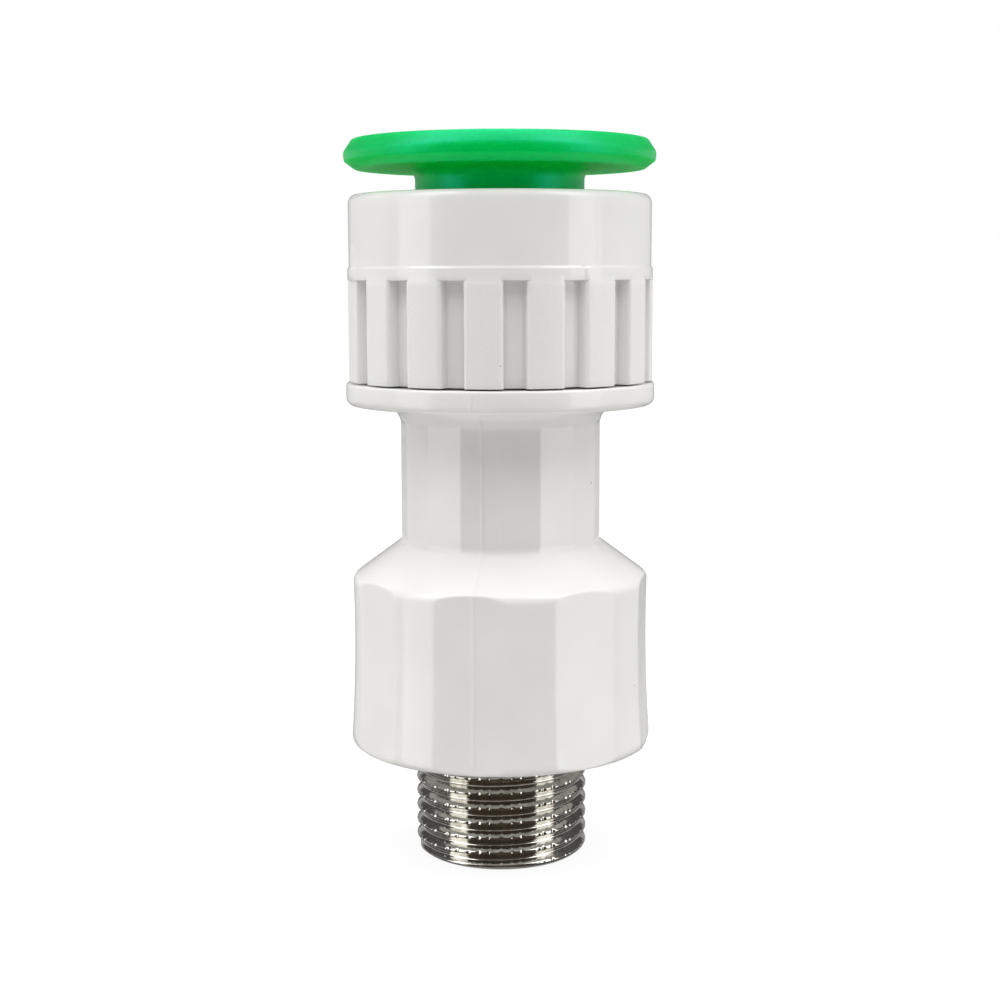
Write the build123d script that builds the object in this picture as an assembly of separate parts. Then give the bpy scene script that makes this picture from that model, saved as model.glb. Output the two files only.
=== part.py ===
from build123d import *
from math import cos, radians, sin, tan
import os

# A straight push-in fitting: pipe socket at the top, male pipe thread at the foot.
# Lengths are in millimetres and angles in degrees. Z is the axis of the fitting, and
# z = 0 is the end face of the thread. A turn round the axis is counted from the
# front (-Y) towards +X.

# Clearances that several pieces share, and how far a cutting shape reaches past its piece
seam_gap = 0.3
contact_gap = 0.05
cut_margin = 0.4

# Pipe that the fitting takes, and what its bores leave round it
pipe_r = 8.0
socket_clearance = 0.1
bore_clearance = 0.3
seal_squeeze = 0.15
tooth_bite = 0.1

# Threaded insert, plated brass
thread_r = 20.955 / 2
thread_length = 13.1
thread_chamfer = 0.95
relief_depth = 0.7775
relief_length = 0.7
insert_top_r = 10.4
insert_wall = 3.4
insert_bore_chamfer = 0.5
anchor_core_step = 0.8
anchor_height = 4.4
anchor_gap = 2.6
anchor_depth = 2.7
anchor_notches = 12
anchor_notch_r = 1.0
insert_top_height = 4.4
insert_seal_section = 2.0
insert_seal_squeeze = 0.5
insert_groove_width = 2.4

# Body, moulded in one piece: bell, shoulder, neck, flange and spigot
bell_foot_step = 0.14
bell_waist_depth = 0.5
bell_top_flare = 0.07
bell_wall = 3.72
bell_height = 20.56
bell_foot_round = 0.8
bell_top_round = 1.9
bell_flats = 8
bell_flat_half_angle = 13.2
bell_flat_turn = -11.25
shoulder_height = 4.39
neck_wall = 3.95
neck_length = 16.45
neck_sides = 16
neck_flat_clearance = 2.0
neck_round = 2.4
flange_step = 0.28
flange_height = 2.7
flange_top_round = 0.4
flange_under_round = 0.9
stop_width = 1.8
socket_length = 12.2
socket_lead = 0.4
chamber_rise = 1.0
chamber_lead = 0.5
spigot_wall = 3.25
spigot_height = 8.6
spigot_round = 0.4

# Thread between spigot and cap, one start, right hand
cap_thread_pitch = 3.0
cap_thread_depth = 1.1
cap_thread_root_width = 1.6
cap_thread_crest_width = 0.8
cap_thread_turns = 1.7
cap_thread_start = 1.3
cap_thread_clearance = 0.3
cap_thread_sink = 0.25

# Seals and spacer round the pipe
seal_section = 2.65
spacer_height = 1.8

# Grab ring of spring steel and the seat that carries it
grab_rim_width = 1.5
grab_thickness = 0.5
tooth_reach = 3.1
tooth_angle = 30.0
teeth = 16
tooth_gap_width = 0.9
seat_height = 3.2
seat_floor = 0.4
seat_funnel_width = 1.3
snap_height = 1.3
snap_rise = 1.1
snap_depth = 0.65

# Cap with grip ribs
cap_skirt_wall = 1.48
rib_length = 11.9
bead_step = 0.03
bead_height = 1.6
bead_chamfer = 0.3
band_step = 0.2
band_height = 8.4
band_round = 0.95
cap_top_wall = 3.0
cap_skirt_round = 0.25
slots = 16
slot_turn = 5.35
slot_width = 3.2
slot_floor_width = 2.8
slot_depth = 1.6
lip_round = 0.4

# Release collar
collar_step = 0.32
collar_rim_step = 0.1
collar_under_step = 1.3
collar_top_step = 1.0
collar_height = 3.4
collar_rim_rise = 0.9
collar_bulge_rise = 1.9
collar_gap = 3.0
collar_wall = 1.79
collar_neck_round = 1.3
collar_bore_lead = 0.9
collar_catch_depth = 1.1
collar_catch_height = 1.6
collar_catch_slope = 0.5
collar_tip_wall = 1.1
collar_tip_length = 1.5
collar_tip_gap = 1.2
collar_slits = 4
collar_slit_width = 1.2

# Radii round the pipe, from the inside out
socket_r = pipe_r + socket_clearance
waterway_r = socket_r - stop_width
neck_r = socket_r + neck_wall
bore_r = pipe_r + bore_clearance
seal_inner_r = pipe_r - seal_squeeze
seal_ring_r = seal_inner_r + seal_section / 2
chamber_r = seal_inner_r + seal_section + contact_gap
tooth_tip_r = pipe_r - tooth_bite
grab_rim_inner_r = tooth_tip_r + tooth_reach
grab_ring_r = grab_rim_inner_r + grab_rim_width
tooth_slope = tan(radians(tooth_angle))
seat_nose_r = chamber_r - seam_gap
seat_funnel_r = bore_r + seat_funnel_width
seat_r = grab_ring_r
snap_r = seat_r + snap_depth
bay_r = seat_r + seam_gap
spigot_root_r = chamber_r + spigot_wall
cap_thread_r = spigot_root_r + cap_thread_depth + cap_thread_clearance

# Radii of the outside, which is flush all the way down
slot_floor_r = cap_thread_r + cap_skirt_wall
rib_r = slot_floor_r + slot_depth
bead_r = rib_r - bead_step
band_r = rib_r - band_step
flange_r = rib_r + flange_step
bell_foot_r = flange_r - bell_foot_step
bell_waist_r = bell_foot_r - bell_waist_depth
bell_top_r = bell_waist_r + bell_top_flare
collar_r = rib_r + collar_step
collar_rim_r = collar_r - collar_rim_step
collar_under_r = collar_r - collar_under_step
collar_top_r = collar_r - collar_top_step

# Radii of the insert and the collar's sleeve
relief_r = thread_r - relief_depth
insert_bore_r = insert_top_r - insert_wall
anchor_core_r = insert_top_r + anchor_core_step
anchor_r = bell_waist_r - bell_wall
insert_seal_inner_r = insert_top_r + insert_seal_squeeze - insert_seal_section
insert_seal_outer_r = insert_top_r + insert_seal_squeeze
collar_neck_r = bore_r + collar_wall
collar_tip_r = bore_r + collar_tip_wall
catch_r = collar_neck_r + collar_catch_depth
catch_bay_r = catch_r + seam_gap
lip_r = collar_neck_r + seam_gap

# Heights that follow from the sizes above
foot_z = thread_length + relief_length
bell_top_z = foot_z + bell_height
neck_z = bell_top_z + shoulder_height
flange_z = neck_z + neck_length
flange_top_z = flange_z + flange_height
chamber_z = flange_z + chamber_rise
stop_z = chamber_z - socket_length
spigot_top_z = flange_top_z + spigot_height
anchor_z = foot_z + anchor_depth
upper_anchor_z = anchor_z + anchor_height + anchor_gap
insert_top_z = upper_anchor_z + anchor_height
insert_end_z = insert_top_z + insert_top_height
insert_seal_z = insert_top_z + insert_top_height / 2
lower_seal_z = chamber_z + contact_gap + seal_section / 2
spacer_z = lower_seal_z + seal_section / 2 + contact_gap
upper_seal_z = spacer_z + spacer_height + contact_gap + seal_section / 2
nose_z = upper_seal_z + seal_section / 2 + contact_gap
seat_z = spigot_top_z + seam_gap
grab_z = seat_z + seat_height + contact_gap
cap_z = flange_top_z + seam_gap
bead_z = cap_z + rib_length
band_z = bead_z + bead_height
cap_top_z = band_z + band_height
lip_z = cap_top_z - cap_top_wall
cap_shoulder_z = grab_z + grab_thickness + seam_gap
collar_z = cap_top_z + collar_gap
collar_top_z = collar_z + collar_height
catch_top_z = lip_z - seam_gap
teeth_under_tip_z = grab_z + grab_thickness - (grab_rim_inner_r - collar_tip_r) * tooth_slope
collar_end_z = teeth_under_tip_z + collar_tip_gap


def turned(corners):
    """Turn a closed half section, given as (radius, height, rounding) corners."""
    outline = FilletPolyline(
        *[(r, z) for r, z, rounding in corners],
        radius=[rounding for r, z, rounding in corners],
        close=True,
    )
    return revolve(Plane.XZ * make_face(outline), axis=Axis.Z)


def tube(outer_r, inner_r, low_z, high_z):
    """A plain ring from one height to another."""
    height = high_z - low_z
    ring = Circle(outer_r) - Circle(inner_r)
    return Pos(0, 0, low_z) * extrude(ring, height)


def rod(radius, low_z, high_z):
    """A plain cylinder from one height to another."""
    return Pos(0, 0, low_z) * extrude(Circle(radius), high_z - low_z)


def turned_to(turn):
    """Place something that is drawn on the front (-Y) at a turn round the axis."""
    return Rot(0, 0, turn)


def screw_ridge(root_r, crest_r, start_z):
    """One trapezoidal thread ridge that stands on a wall of radius root_r."""
    outward = 1 if crest_r > root_r else -1
    flank = (cap_thread_root_width - cap_thread_crest_width) / 2 / cap_thread_depth
    sunk_r = root_r - outward * cap_thread_sink
    half_sunk = cap_thread_root_width / 2 + cap_thread_sink * flank
    half_crest = cap_thread_crest_width / 2
    helix = Helix(cap_thread_pitch, cap_thread_pitch * cap_thread_turns, sunk_r)
    path = Pos(0, 0, start_z) * helix
    section = Polyline(
        (0, -half_sunk),
        (crest_r - sunk_r, -half_crest),
        (crest_r - sunk_r, half_crest),
        (0, half_sunk),
        close=True,
    )
    start = Plane(origin=path @ 0, x_dir=(1, 0, 0), z_dir=path % 0)
    return sweep(start * make_face(section), path=path, is_frenet=True)


def insert_outside():
    """The insert without its bore, as the body is moulded round it."""
    blank = turned(
        [
            (0, 0, 0),
            (thread_r - thread_chamfer, 0, 0),
            (thread_r, thread_chamfer, 0),
            (thread_r, thread_length, 0),
            (relief_r, thread_length, 0),
            (relief_r, anchor_z, 0),
            (anchor_r, anchor_z, 0),
            (anchor_r, anchor_z + anchor_height, 0),
            (anchor_core_r, anchor_z + anchor_height, 0),
            (anchor_core_r, upper_anchor_z, 0),
            (anchor_r, upper_anchor_z, 0),
            (anchor_r, insert_top_z, 0),
            (insert_top_r, insert_top_z, 0),
            (insert_top_r, insert_end_z, 0),
            (0, insert_end_z, 0),
        ]
    )
    notch = rod(anchor_notch_r, anchor_z, insert_top_z)
    for index in range(anchor_notches):
        blank -= turned_to(index * 360 / anchor_notches) * Pos(0, -anchor_r, 0) * notch
    return blank


def threaded_insert():
    """Bored insert with the groove for its seal."""
    blank = insert_outside() - rod(insert_bore_r, 0, insert_end_z)
    groove_low_z = insert_seal_z - insert_groove_width / 2
    groove_high_z = insert_seal_z + insert_groove_width / 2
    blank -= tube(insert_top_r, insert_seal_inner_r, groove_low_z, groove_high_z)
    mouth = Cone(insert_bore_r + insert_bore_chamfer, insert_bore_r, insert_bore_chamfer)
    return blank - Pos(0, 0, insert_bore_chamfer / 2) * mouth


def insert_seal():
    """Rubber ring that seals the insert in the plastic."""
    ring_r = insert_seal_inner_r + insert_seal_section / 2
    return Pos(0, 0, insert_seal_z) * Torus(ring_r, insert_seal_section / 2)


def bell_side(scale):
    """The bell's waisted side, from its foot to its top edge, as one arc."""
    return ThreePointArc(
        (bell_foot_r * scale, foot_z),
        (bell_waist_r * scale, foot_z + bell_height / 2),
        (bell_top_r * scale, bell_top_z),
    )


def bell():
    """Bell and shoulder, turned, before the flats are cut."""
    side = bell_side(1)
    rest = Polyline(side @ 1, (neck_r, neck_z), (0, neck_z), (0, foot_z), side @ 0)
    face = make_face(side + rest)
    top_edge = face.vertices().sort_by_distance(side @ 1)[0]
    face = fillet(top_edge, bell_top_round)
    foot_edge = face.vertices().sort_by_distance(side @ 0)[0]
    face = fillet(foot_edge, bell_foot_round)
    return revolve(Plane.XZ * face, axis=Axis.Z)


def bell_flat():
    """What one flat takes off the bell, drawn on the +X side."""
    side = bell_side(cos(radians(bell_flat_half_angle)))
    outside_r = bell_foot_r + cut_margin
    rest = Polyline(
        side @ 1,
        ((side @ 1).X, neck_z),
        (outside_r, neck_z),
        (outside_r, foot_z),
        side @ 0,
    )
    half_width = bell_foot_r * sin(radians(bell_flat_half_angle)) + cut_margin
    return extrude(Plane.XZ * make_face(side + rest), half_width, both=True)


def neck_flats():
    """What the many-sided neck takes off the round one."""
    high_z = flange_z - neck_flat_clearance
    sides = RegularPolygon(neck_r, neck_sides)
    ring = Circle(neck_r + cut_margin) - sides
    return Pos(0, 0, neck_z) * extrude(ring, high_z - neck_z)


def body_outside():
    """The body's outer form, solid."""
    upper = turned(
        [
            (0, neck_z - shoulder_height, 0),
            (neck_r, neck_z - shoulder_height, 0),
            (neck_r, flange_z, neck_round),
            (flange_r, flange_z, flange_under_round),
            (flange_r, flange_top_z, flange_top_round),
            (spigot_root_r, flange_top_z, 0),
            (spigot_root_r, spigot_top_z, spigot_round),
            (0, spigot_top_z, 0),
        ]
    )
    lower = bell()
    flat = bell_flat()
    for index in range(bell_flats):
        turn = bell_flat_turn + index * 360 / bell_flats
        lower -= turned_to(turn - 90) * flat
    return lower + (upper - neck_flats())


def body():
    """Body with its waterway, pipe socket, seal chamber, cap thread and the insert's seat."""
    blank = body_outside()
    blank += screw_ridge(
        spigot_root_r,
        spigot_root_r + cap_thread_depth,
        flange_top_z + cap_thread_start + cap_thread_root_width / 2,
    )
    blank -= insert_outside()
    groove_low_z = insert_seal_z - insert_groove_width / 2
    groove_high_z = insert_seal_z + insert_groove_width / 2
    blank -= rod(insert_seal_outer_r + contact_gap, groove_low_z, groove_high_z)
    blank -= rod(waterway_r, insert_end_z, stop_z)
    cavity = turned(
        [
            (0, stop_z, 0),
            (socket_r, stop_z, 0),
            (socket_r, chamber_z - socket_lead, 0),
            (socket_r + socket_lead, chamber_z, 0),
            (chamber_r, chamber_z, 0),
            (chamber_r, spigot_top_z - chamber_lead, 0),
            (chamber_r + chamber_lead, spigot_top_z, 0),
            (0, spigot_top_z, 0),
        ]
    )
    return blank - cavity


def seal_ring(height):
    """One pipe seal at a height."""
    return Pos(0, 0, height) * Torus(seal_ring_r, seal_section / 2)


def spacer_ring():
    """Plain ring that keeps the two pipe seals apart."""
    return tube(chamber_r - contact_gap, bore_r, spacer_z, spacer_z + spacer_height)


def grab_ring_seat():
    """Ring that snaps into the cap, carries the grab ring and holds the seals down."""
    return turned(
        [
            (bore_r, nose_z, 0),
            (seat_nose_r, nose_z, 0),
            (seat_nose_r, seat_z, 0),
            (seat_r, seat_z, 0),
            (seat_r, seat_z + snap_rise, 0),
            (snap_r, seat_z + snap_rise, 0),
            (snap_r, seat_z + snap_rise + snap_height / 2, 0),
            (seat_r, seat_z + snap_rise + snap_height, 0),
            (seat_r, seat_z + seat_height, 0),
            (grab_rim_inner_r + contact_gap, seat_z + seat_height, 0),
            (seat_funnel_r, seat_z + seat_floor, 0),
            (bore_r, seat_z + seat_floor, 0),
        ]
    )


def grab_ring():
    """Spring ring whose teeth lean down and inwards to hold the pipe."""
    tip_drop = (grab_rim_inner_r - tooth_tip_r) * tooth_slope
    blank = turned(
        [
            (tooth_tip_r, grab_z - tip_drop, 0),
            (grab_rim_inner_r, grab_z, 0),
            (grab_ring_r, grab_z, 0),
            (grab_ring_r, grab_z + grab_thickness, 0),
            (grab_rim_inner_r, grab_z + grab_thickness, 0),
            (tooth_tip_r, grab_z + grab_thickness - tip_drop, 0),
        ]
    )
    slot_length = grab_rim_inner_r
    slot = Box(tooth_gap_width, slot_length, 2 * (tip_drop + grab_thickness))
    for index in range(teeth):
        turn = (index + 0.5) * 360 / teeth
        blank -= turned_to(turn) * Pos(0, -slot_length / 2, grab_z) * slot
    return blank


def cap_outside():
    """The cap's outer form, solid: ribbed skirt, bead and smooth band."""
    blank = turned(
        [
            (0, cap_z, 0),
            (rib_r, cap_z, cap_skirt_round),
            (rib_r, bead_z, 0),
            (bead_r, bead_z, 0),
            (bead_r, band_z - bead_chamfer, 0),
            (band_r, band_z, 0),
            (band_r, cap_top_z, band_round),
            (0, cap_top_z, 0),
        ]
    )
    half_width = slot_width / 2
    half_floor = slot_floor_width / 2
    mouth_r = rib_r + cut_margin
    slot_face = Polyline(
        (-half_floor, -slot_floor_r),
        (half_floor, -slot_floor_r),
        (half_width, -mouth_r),
        (-half_width, -mouth_r),
        close=True,
    )
    slot = Pos(0, 0, cap_z) * extrude(make_face(slot_face), rib_length)
    for index in range(slots):
        blank -= turned_to(slot_turn + index * 360 / slots) * slot
    return blank


def cap():
    """Cap with its inside: thread, snap groove, ring bay and lip round the collar."""
    groove_r = snap_r + seam_gap
    groove_low_z = seat_z + snap_rise - seam_gap
    groove_high_z = seat_z + snap_rise + snap_height + seam_gap
    cavity = turned(
        [
            (0, cap_z, 0),
            (cap_thread_r, cap_z, 0),
            (cap_thread_r, seat_z, 0),
            (bay_r, seat_z, 0),
            (bay_r, groove_low_z, 0),
            (groove_r, groove_low_z, 0),
            (groove_r, groove_high_z, 0),
            (bay_r, groove_high_z, 0),
            (bay_r, cap_shoulder_z, 0),
            (catch_bay_r, cap_shoulder_z, 0),
            (catch_bay_r, lip_z, 0),
            (lip_r, lip_z, 0),
            (lip_r, cap_top_z - lip_round, 0),
            (lip_r + lip_round, cap_top_z, 0),
            (0, cap_top_z, 0),
        ]
    )
    start_z = flange_top_z + cap_thread_start + cap_thread_root_width / 2 + cap_thread_pitch / 2
    ridge = screw_ridge(cap_thread_r, cap_thread_r - cap_thread_depth, start_z - cap_thread_pitch)
    skirt_space = rod(rib_r, cap_z, seat_z)
    return cap_outside() - cavity + (ridge & skirt_space)


def release_collar():
    """Collar that is pressed to free the pipe: flange, neck, catch and slit sleeve."""
    side = ThreePointArc(
        (collar_rim_r, collar_z + collar_rim_rise),
        (collar_r, collar_z + collar_bulge_rise),
        (collar_top_r, collar_top_z),
    )
    catch_z = catch_top_z - collar_catch_height
    rest = Polyline(
        side @ 1,
        (bore_r + collar_bore_lead, collar_top_z),
        (bore_r, collar_top_z - collar_bore_lead),
        (bore_r, collar_end_z),
        (collar_tip_r, collar_end_z),
        (collar_tip_r, collar_end_z + collar_tip_length),
        (collar_neck_r, collar_end_z + collar_tip_length),
        (collar_neck_r, catch_z - collar_catch_slope),
        (catch_r, catch_z),
        (catch_r, catch_top_z),
        (collar_neck_r, catch_top_z),
        (collar_neck_r, collar_z),
        (collar_under_r, collar_z),
        side @ 0,
    )
    face = make_face(side + rest)
    neck_corner = face.vertices().sort_by_distance((collar_neck_r, collar_z))[0]
    face = fillet(neck_corner, collar_neck_round)
    blank = revolve(Plane.XZ * face, axis=Axis.Z)
    slit_height = catch_top_z - collar_end_z
    slit = Box(collar_slit_width, 2 * catch_r, slit_height)
    slit_z = collar_end_z + slit_height / 2
    for index in range(collar_slits):
        turn = (index + 0.5) * 360 / collar_slits
        blank -= turned_to(turn) * Pos(0, -catch_r, slit_z) * slit
    return blank


def write(name, solid):
    """Save one piece under its own name."""
    export_step(solid, os.path.join("parts", name + ".step"))


os.makedirs("parts", exist_ok=True)
write("body", body())
write("threaded_insert", threaded_insert())
write("insert_seal", insert_seal())
write("lower_o_ring", seal_ring(lower_seal_z))
write("spacer_ring", spacer_ring())
write("upper_o_ring", seal_ring(upper_seal_z))
write("grab_ring_seat", grab_ring_seat())
write("grab_ring", grab_ring())
write("cap", cap())
write("release_collar", release_collar())
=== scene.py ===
from math import atan2, ceil, cos, hypot, pi, radians, sin, sqrt, tan
from random import Random

import bmesh
import bpy
from bpy.props import FloatProperty, FloatVectorProperty, IntProperty, PointerProperty
from mathutils import Euler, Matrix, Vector


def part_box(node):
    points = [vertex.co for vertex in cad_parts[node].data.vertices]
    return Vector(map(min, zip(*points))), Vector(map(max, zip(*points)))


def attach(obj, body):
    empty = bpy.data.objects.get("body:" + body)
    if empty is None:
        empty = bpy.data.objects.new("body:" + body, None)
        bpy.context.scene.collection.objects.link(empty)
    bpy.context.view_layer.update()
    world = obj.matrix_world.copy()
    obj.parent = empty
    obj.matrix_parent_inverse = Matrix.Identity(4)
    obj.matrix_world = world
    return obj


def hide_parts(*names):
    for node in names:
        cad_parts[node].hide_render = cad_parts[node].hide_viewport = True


bl_info = {
    "name": "Push-in fitting",
    "version": (1, 0, 0),
    "blender": (4, 5, 0),
    "location": "3D View > Sidebar > Fitting",
    "description": "Models a push-in pipe fitting around its packed frame",
    "category": "Object",
}

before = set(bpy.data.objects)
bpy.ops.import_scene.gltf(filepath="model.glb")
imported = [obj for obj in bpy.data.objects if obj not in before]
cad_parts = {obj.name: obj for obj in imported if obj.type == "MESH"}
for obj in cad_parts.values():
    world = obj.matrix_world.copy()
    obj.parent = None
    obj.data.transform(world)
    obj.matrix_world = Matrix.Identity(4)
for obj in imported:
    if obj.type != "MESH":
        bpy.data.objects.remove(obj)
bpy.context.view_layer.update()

MM = 0.001
FULL_TURN = 2 * pi
BODY_LOW, BODY_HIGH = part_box("body")
CAP_LOW, CAP_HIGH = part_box("cap")
COLLAR_LOW, COLLAR_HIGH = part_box("release_collar")
INSERT_LOW, INSERT_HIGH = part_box("threaded_insert")


def length(name, millimetres, description):
    """A size that a user can change, in Blender's unit of length."""
    return FloatProperty(
        name=name, description=description, default=millimetres * MM, precision=5, unit="LENGTH"
    )


def angle(name, value, description):
    """A turn or slope that a user can change."""
    return FloatProperty(name=name, description=description, default=radians(value), unit="ROTATION")


def count(name, value, description):
    """A number of like features."""
    return IntProperty(name=name, description=description, default=value, min=1)


def share(name, value, description):
    """A plain factor."""
    return FloatProperty(name=name, description=description, default=value, min=0.0)


def levels(name, values, description):
    """How bright the studio is in front of the fitting, beside it and behind it."""
    return FloatVectorProperty(name=name, description=description, default=values, size=3, min=0.0)


def linear(hex_colour):
    """The linear colour of an sRGB hex value such as #d8d7d3."""
    channels = [int(hex_colour[i:i + 2], 16) / 255 for i in (1, 3, 5)]
    return [c / 12.92 if c <= 0.04045 else ((c + 0.055) / 1.055) ** 2.4 for c in channels]


def colour(name, hex_colour, description):
    """A colour that a user can change, given as sRGB hex."""
    return FloatVectorProperty(
        name=name, description=description, default=linear(hex_colour), subtype="COLOR",
        min=0.0, max=1.0,
    )


class BodySizes(bpy.types.PropertyGroup):
    """Sizes of the white body: bell, shoulder, neck, flange and spigot."""

    foot_r: length("Bell foot radius", 18.42, "Radius of the bell at its foot")
    waist_r: length("Bell waist radius", 17.92, "Radius of the bell half way up")
    top_r: length("Bell top radius", 17.99, "Radius of the bell below its shoulder")
    bell_height: length("Bell height", 20.56, "From the bell's foot to its top edge")
    foot_round: length("Foot rounding", 0.8, "Rounding of the bell's foot")
    top_round: length("Top rounding", 1.35, "Rounding between bell and shoulder")
    flats: count("Flats", 8, "Flats pressed into the bell")
    flat_half: angle("Half flat", 13.2, "Half the turn that one flat takes")
    flat_turn: angle("First flat", -11.25, "Turn of a flat's middle from the front")
    flat_edge: length("Flat edge", 0.06, "How softly a flat meets the round side")
    waist_from_r: length("Waist from", 14.5, "Radius on the shoulder from which the waist shows")
    mould_turn: angle("Parting line", -10.3125, "Turn of the mould's parting line from the front")
    mould_height: length("Parting line height", 0.07, "How far the parting line stands out")
    mould_half: length("Parting line half width", 0.09, "Half the width of the parting line")
    shoulder_height: length("Shoulder height", 4.39, "Height of the cone shoulder")
    neck_r: length("Neck radius", 12.05, "Radius over the neck's edges")
    neck_sides: count("Neck sides", 16, "Sides of the neck")
    neck_length: length("Neck length", 16.45, "From the shoulder to the flange")
    neck_clear: length("Round neck top", 2.0, "Where the sides end below the flange")
    neck_round: length("Neck rounding", 2.4, "Rounding under the flange")
    flange_height: length("Flange height", 2.7, "Height of the flange")
    flange_top_round: length("Flange top rounding", 0.32, "Rounding of the flange's top edge")
    flange_under_round: length("Flange under rounding", 0.9, "Rounding of its lower edge")
    spigot_r: length("Spigot radius", 13.8, "Radius of the spigot under its thread")
    spigot_round: length("Spigot rounding", 0.4, "Rounding of the spigot's top edge")
    chamber_r: length("Chamber radius", 10.55, "Radius of the seal chamber")
    chamber_rise: length("Chamber rise", 1.0, "Chamber floor above the flange's underside")
    chamber_lead: length("Chamber lead", 0.5, "Chamfer at the chamber's mouth")
    socket_r: length("Socket radius", 8.1, "Radius of the pipe socket")
    socket_length: length("Socket length", 12.2, "Depth of the pipe socket")
    socket_lead: length("Socket lead", 0.4, "Chamfer at the socket's mouth")
    waterway_r: length("Waterway radius", 6.3, "Radius of the waterway past the stop")
    seat_seal_r: length("Insert seal radius", 10.95, "Radius of the insert's seal in the body")


class ScrewSizes(bpy.types.PropertyGroup):
    """Sizes of the one-start thread between spigot and cap."""

    pitch: length("Pitch", 3.0, "Rise in one turn")
    depth: length("Depth", 1.1, "Height of the ridge over its wall")
    root_width: length("Root width", 1.6, "Width of the ridge at its wall")
    crest_width: length("Crest width", 0.8, "Width of the ridge at its crest")
    turns: share("Turns", 1.7, "Turns that the ridge makes")
    start: length("Start", 1.3, "From the flange to the foot of the ridge")
    sink: length("Sink", 0.25, "How far the ridge reaches into its wall")


class CapSizes(bpy.types.PropertyGroup):
    """Sizes of the white cap: ribbed skirt, bead, band and its inside."""

    rib_r: length("Rib radius", 18.28, "Radius over the grip ribs")
    rib_length: length("Rib length", 11.9, "Height of the ribbed skirt")
    skirt_drop: length("Skirt drop", 0.12, "How far the skirt's edge hangs below the cap's foot")
    skirt_round: length("Skirt rounding", 0.14, "Rounding of the skirt's lower edge")
    slots: count("Slots", 16, "Slots between the ribs")
    slot_turn: angle("First slot", 5.35, "Turn of a slot's middle from the front")
    slot_floor_half: length("Half slot floor", 1.22, "Half the width of a slot's flat floor")
    slot_mouth_half: length("Half slot mouth", 1.8, "Half the width over its rounded edges")
    slot_depth: length("Slot depth", 1.6, "Depth of a slot")
    rib_round: length("Rib rounding", 0.5, "Rounding of the ribs' long edges")
    rib_edge: length("Rib edge", 0.08, "Rounding of the ribs' ends")
    rib_relief: length("Slot top relief", 0.12, "Height of the slope between ribs and bead")
    bead_edge: length("Bead edge", 0.12, "Rounding of the bead's edges")
    mould_turn: angle("Parting line", 36.6, "Turn of the mould's parting line from the front")
    mould_height: length("Parting line height", 0.02, "How far the parting line stands out")
    mould_half: length("Parting line half width", 0.08, "Half the width of the parting line")
    blister_turn: angle("Blister", -70, "Turn of the moulding blister on the band")
    blister_low: length("Blister foot", 11.5, "Height of the blister's foot over the cap's")
    blister_length: length("Blister length", 4.4, "Height of the pointed blister")
    blister_half: length("Half blister", 2.1, "Half the width of the blister's foot")
    blister_height: length("Blister height", 0.32, "How far the blister stands out")
    nick_turn: angle("Nick", 31.2, "Turn of the nick in the bead")
    nick_half: length("Half nick", 0.3, "Half the width of the nick")
    nick_depth: length("Nick depth", 0.1, "Depth of the nick")
    bead_r: length("Bead radius", 18.25, "Radius of the bead above the ribs")
    bead_height: length("Bead height", 1.6, "Height of the bead")
    bead_chamfer: length("Bead chamfer", 0.3, "Slope at the top of the bead")
    band_r: length("Band radius", 18.08, "Radius of the smooth band")
    band_round: length("Band rounding", 0.95, "Rounding of the cap's top edge")
    top_wall: length("Top wall", 3.0, "Thickness of the lip round the collar")
    lip_r: length("Lip radius", 10.39, "Radius of the hole for the collar")
    lip_round: length("Lip chamfer", 0.4, "Chamfer of that hole")
    catch_bay_r: length("Catch bay radius", 11.49, "Radius of the bay of the collar's catch")
    shoulder_drop: length("Shoulder drop", 9.25, "From the cap's top to the ring bay")
    bay_r: length("Ring bay radius", 12.8, "Radius of the bay of the grab ring seat")
    bay_drop: length("Bay drop", 13.3, "From the cap's top to the lower end of the bay")
    snap_r: length("Snap groove radius", 13.45, "Radius of the groove that the seat snaps into")
    snap_low_drop: length("Snap low drop", 12.5, "From the cap's top to the groove's lower wall")
    snap_high_drop: length("Snap high drop", 10.6, "From the cap's top to the groove's upper wall")
    thread_r: length("Thread wall radius", 15.2, "Radius of the wall that carries the thread")


class CollarSizes(bpy.types.PropertyGroup):
    """Sizes of the green release collar."""

    rim_r: length("Rim radius", 18.5, "Radius at the rim's lower crease")
    bulge_r: length("Bulge radius", 18.6, "Largest radius of the rim")
    top_r: length("Top radius", 17.6, "Radius at the rim's upper edge")
    under_r: length("Under radius", 17.3, "Radius where the flat underside begins")
    height: length("Flange height", 3.4, "Height of the collar's flange")
    rim_rise: length("Rim rise", 0.9, "Height of the lower crease over the underside")
    bulge_rise: length("Bulge rise", 1.9, "Height of the largest radius over the underside")
    rim_edge: length("Rim edge", 0.16, "Rounding of the rim's creases")
    top_edge: length("Top edge", 0.35, "Rounding of the rim's upper edge")
    neck_r: length("Neck radius", 10.09, "Radius of the collar's neck")
    neck_round: length("Neck rounding", 1.3, "Rounding between neck and flange")
    bore_r: length("Bore radius", 8.3, "Radius of the bore that the pipe goes through")
    bore_lead: length("Bore lead", 0.9, "Chamfer at the bore's mouth")
    catch_depth: length("Catch depth", 1.1, "How far the catch stands out")
    catch_height: length("Catch height", 1.6, "Height of the catch")
    catch_slope: length("Catch slope", 0.5, "Height of the catch's lower slope")
    catch_drop: length("Catch drop", 9.7, "From the collar's top to the catch")
    tip_r: length("Tip radius", 9.4, "Radius of the sleeve's tip")
    tip_length: length("Tip length", 1.5, "Length of the thinner tip")
    slits: count("Slits", 4, "Slits in the sleeve")
    slit_width: length("Slit width", 1.2, "Width of one slit")


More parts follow.
